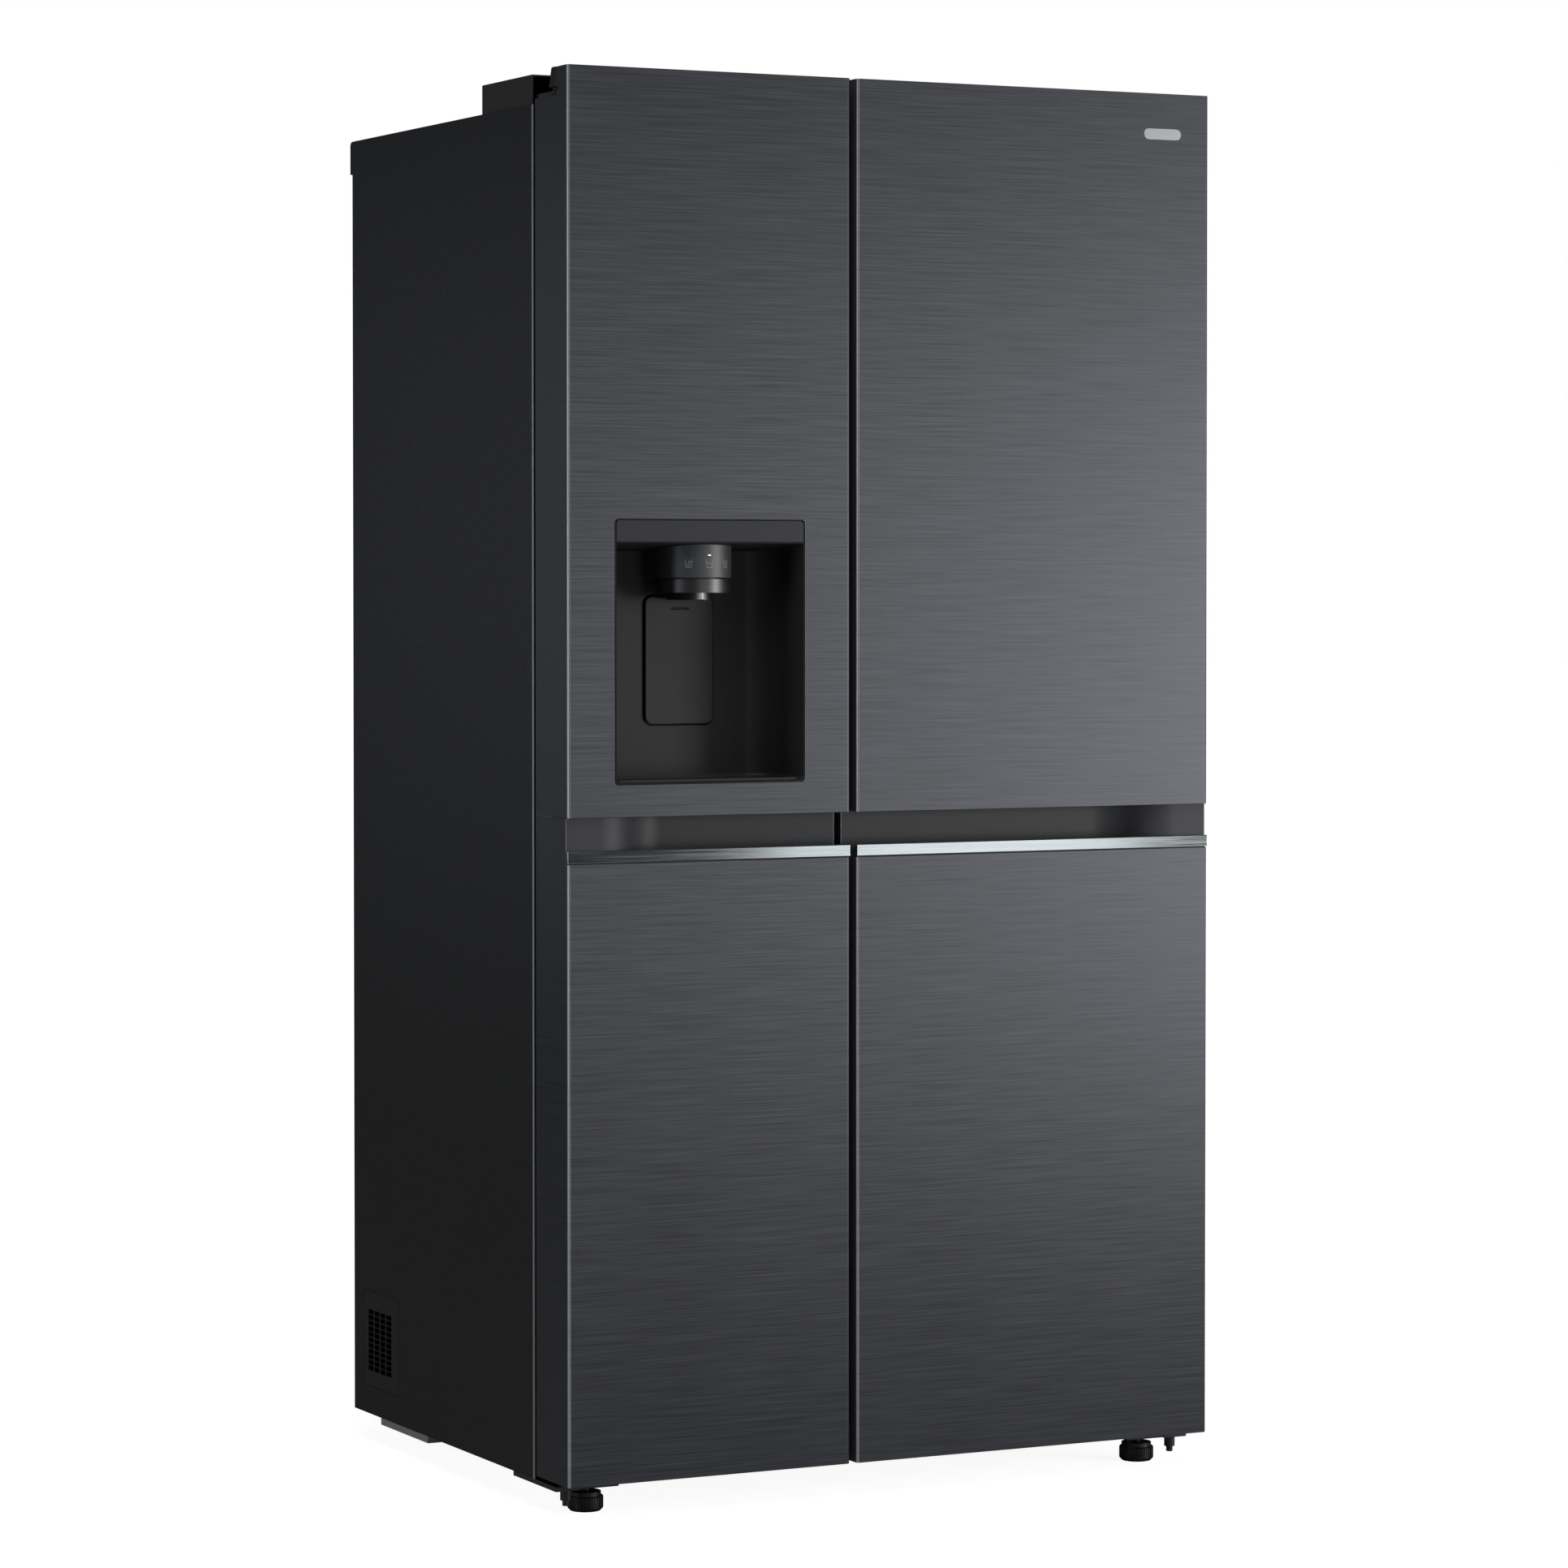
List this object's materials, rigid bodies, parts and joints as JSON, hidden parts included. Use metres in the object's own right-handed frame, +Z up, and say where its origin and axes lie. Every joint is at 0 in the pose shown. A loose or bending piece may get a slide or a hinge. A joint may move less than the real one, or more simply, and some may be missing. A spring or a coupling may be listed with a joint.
{
  "type": "side-by-side refrigerator",
  "caption": "Tall side-by-side refrigerator with a narrow freezer door holding an ice and water dispenser, a wide fridge door and recessed pocket handles.",
  "frame": {"origin": "centre of the bottom of the overall bounding box, on the floor", "axes": "+X to the viewer's right when facing the doors, +Y to the back, +Z up"},
  "size_m": [0.913, 0.72, 1.79],
  "materials": {
    "case_paint": "satin",
    "dark_brushed_steel": "satin",
    "bright_trim": "polished",
    "badge_metal": "satin",
    "door_foam": "matte",
    "insulation": "matte",
    "zinc_sheet": "satin",
    "black_trim": "matte",
    "white_liner": "satin",
    "frame_paint": "satin",
    "cover_plastic": "matte",
    "tray_zinc": "satin",
    "compressor_black": "satin",
    "coil_black": "satin",
    "fan_plastic": "matte",
    "coil_aluminium": "satin",
    "lens": "gloss",
    "shelf_edge": "satin",
    "shelf_pane": "polished",
    "clear_plastic": "gloss",
    "hinge_steel": "satin",
    "hinge_cover_plastic": "satin",
    "bracket_steel": "satin",
    "foot_plastic": "matte",
    "roller_plastic": "satin",
    "gland_rubber": "matte",
    "valve_plastic": "satin",
    "pocket_plastic": "satin",
    "cap_plastic": "matte",
    "gasket_rubber": "matte",
    "ice_case_plastic": "satin",
    "niche_plastic": "matte",
    "panel_plastic": "satin",
    "drum_plastic": "satin",
    "ring_metal": "satin",
    "chute_plastic": "matte",
    "nozzle_plastic": "gloss",
    "lever_plastic": "satin"
  },
  "bodies": {
    "cabinet": {"outer_case": "case_paint", "cabinet_foam": "insulation", "back_panel": "zinc_sheet", "rear_top_trim": "black_trim", "freezer_liner": "white_liner", "fridge_liner": "white_liner", "base_frame": "frame_paint", "side_vent_grille": "black_trim", "machine_room_cover": "cover_plastic", "compressor_tray": "tray_zinc", "compressor": "compressor_black", "condenser_coil": "coil_black", "condenser_fan_shroud": "fan_plastic", "evaporator_coil": "coil_aluminium", "duct_covers": "white_liner", "light_lenses": "lens", "shelf_frames": "shelf_edge", "shelf_glass": "shelf_pane", "top_hinges": "hinge_steel", "hinge_covers": "hinge_cover_plastic", "bottom_hinges": "bracket_steel", "power_gland": "gland_rubber", "water_inlet": "valve_plastic"},
    "freezer_door": {"freezer_door_skin": "dark_brushed_steel", "freezer_pocket": "pocket_plastic", "freezer_trim": "bright_trim", "freezer_door_caps": "cap_plastic", "freezer_door_foam": "door_foam", "freezer_door_liner": "white_liner", "freezer_gasket": "gasket_rubber", "freezer_door_bins": "clear_plastic", "ice_maker": "ice_case_plastic", "dispenser_housing": "niche_plastic", "control_panel": "panel_plastic", "selector_drum": "drum_plastic", "dispenser_ring": "ring_metal", "ice_chute": "chute_plastic", "water_nozzle": "nozzle_plastic", "drip_tray": "niche_plastic"},
    "fridge_door": {"fridge_door_skin": "dark_brushed_steel", "fridge_pocket": "pocket_plastic", "fridge_trim": "bright_trim", "fridge_door_caps": "cap_plastic", "fridge_door_foam": "door_foam", "fridge_door_liner": "white_liner", "fridge_gasket": "gasket_rubber", "fridge_door_bins": "clear_plastic", "badge": "badge_metal"},
    "condenser_fan": {"condenser_fan": "fan_plastic"},
    "evaporator_fan": {"evaporator_fan": "fan_plastic"},
    "freezer_drawer_upper": {"freezer_drawer_upper": "clear_plastic"},
    "freezer_drawer_lower": {"freezer_drawer_lower": "clear_plastic"},
    "crisper_upper": {"crisper_upper": "clear_plastic"},
    "crisper_lower": {"crisper_lower": "clear_plastic"},
    "left_foot": {"left_foot": "foot_plastic"},
    "right_foot": {"right_foot": "foot_plastic"},
    "left_roller": {"left_roller": "roller_plastic"},
    "right_roller": {"right_roller": "roller_plastic"},
    "dispenser_lever": {"dispenser_lever": "lever_plastic"}
  },
  "joints": [
    {"name": "freezer_door_hinge", "type": "hinge", "parent": "cabinet", "child": "freezer_door", "pos_m": [-0.435, -0.303, 0.916], "axis": [0, 0, -1], "range_deg": [0, 120]},
    {"name": "fridge_door_hinge", "type": "hinge", "parent": "cabinet", "child": "fridge_door", "pos_m": [0.435, -0.303, 0.916], "axis": [0, 0, 1], "range_deg": [0, 120]},
    {"name": "dispenser_lever_pivot", "type": "hinge", "parent": "freezer_door", "child": "dispenser_lever", "pos_m": [-0.2623, -0.259, 1.1292], "axis": [1, 0, 0], "range_deg": [0, 5], "stiffness_Nm_per_rad": 0.2, "springref_deg": -11.46},
    {"name": "freezer_drawer_upper_slide", "type": "slide", "parent": "cabinet", "child": "freezer_drawer_upper", "axis": [0, -1, 0], "range_m": [0, 0.085]},
    {"name": "freezer_drawer_lower_slide", "type": "slide", "parent": "cabinet", "child": "freezer_drawer_lower", "axis": [0, -1, 0], "range_m": [0, 0.05]},
    {"name": "crisper_upper_slide", "type": "slide", "parent": "cabinet", "child": "crisper_upper", "axis": [0, -1, 0], "range_m": [0, 0.085]},
    {"name": "crisper_lower_slide", "type": "slide", "parent": "cabinet", "child": "crisper_lower", "axis": [0, -1, 0], "range_m": [0, 0.05]},
    {"name": "left_foot_thread", "type": "hinge", "parent": "cabinet", "child": "left_foot", "pos_m": [-0.398, -0.28, 0.01], "axis": [0, 0, 1], "continuous": true},
    {"name": "right_foot_thread", "type": "hinge", "parent": "cabinet", "child": "right_foot", "pos_m": [0.398, -0.28, 0.01], "axis": [0, 0, 1], "continuous": true},
    {"name": "left_roller_axle", "type": "hinge", "parent": "cabinet", "child": "left_roller", "pos_m": [-0.346, 0.285, 0.017], "axis": [1, 0, 0], "continuous": true},
    {"name": "right_roller_axle", "type": "hinge", "parent": "cabinet", "child": "right_roller", "pos_m": [0.346, 0.285, 0.017], "axis": [1, 0, 0], "continuous": true},
    {"name": "condenser_fan_spin", "type": "hinge", "parent": "cabinet", "child": "condenser_fan", "pos_m": [-0.137, 0.232, 0.16], "axis": [1, 0, 0], "continuous": true},
    {"name": "evaporator_fan_spin", "type": "hinge", "parent": "cabinet", "child": "evaporator_fan", "pos_m": [-0.247, 0.227, 0.82], "axis": [0, 1, 0], "continuous": true}
  ]
}
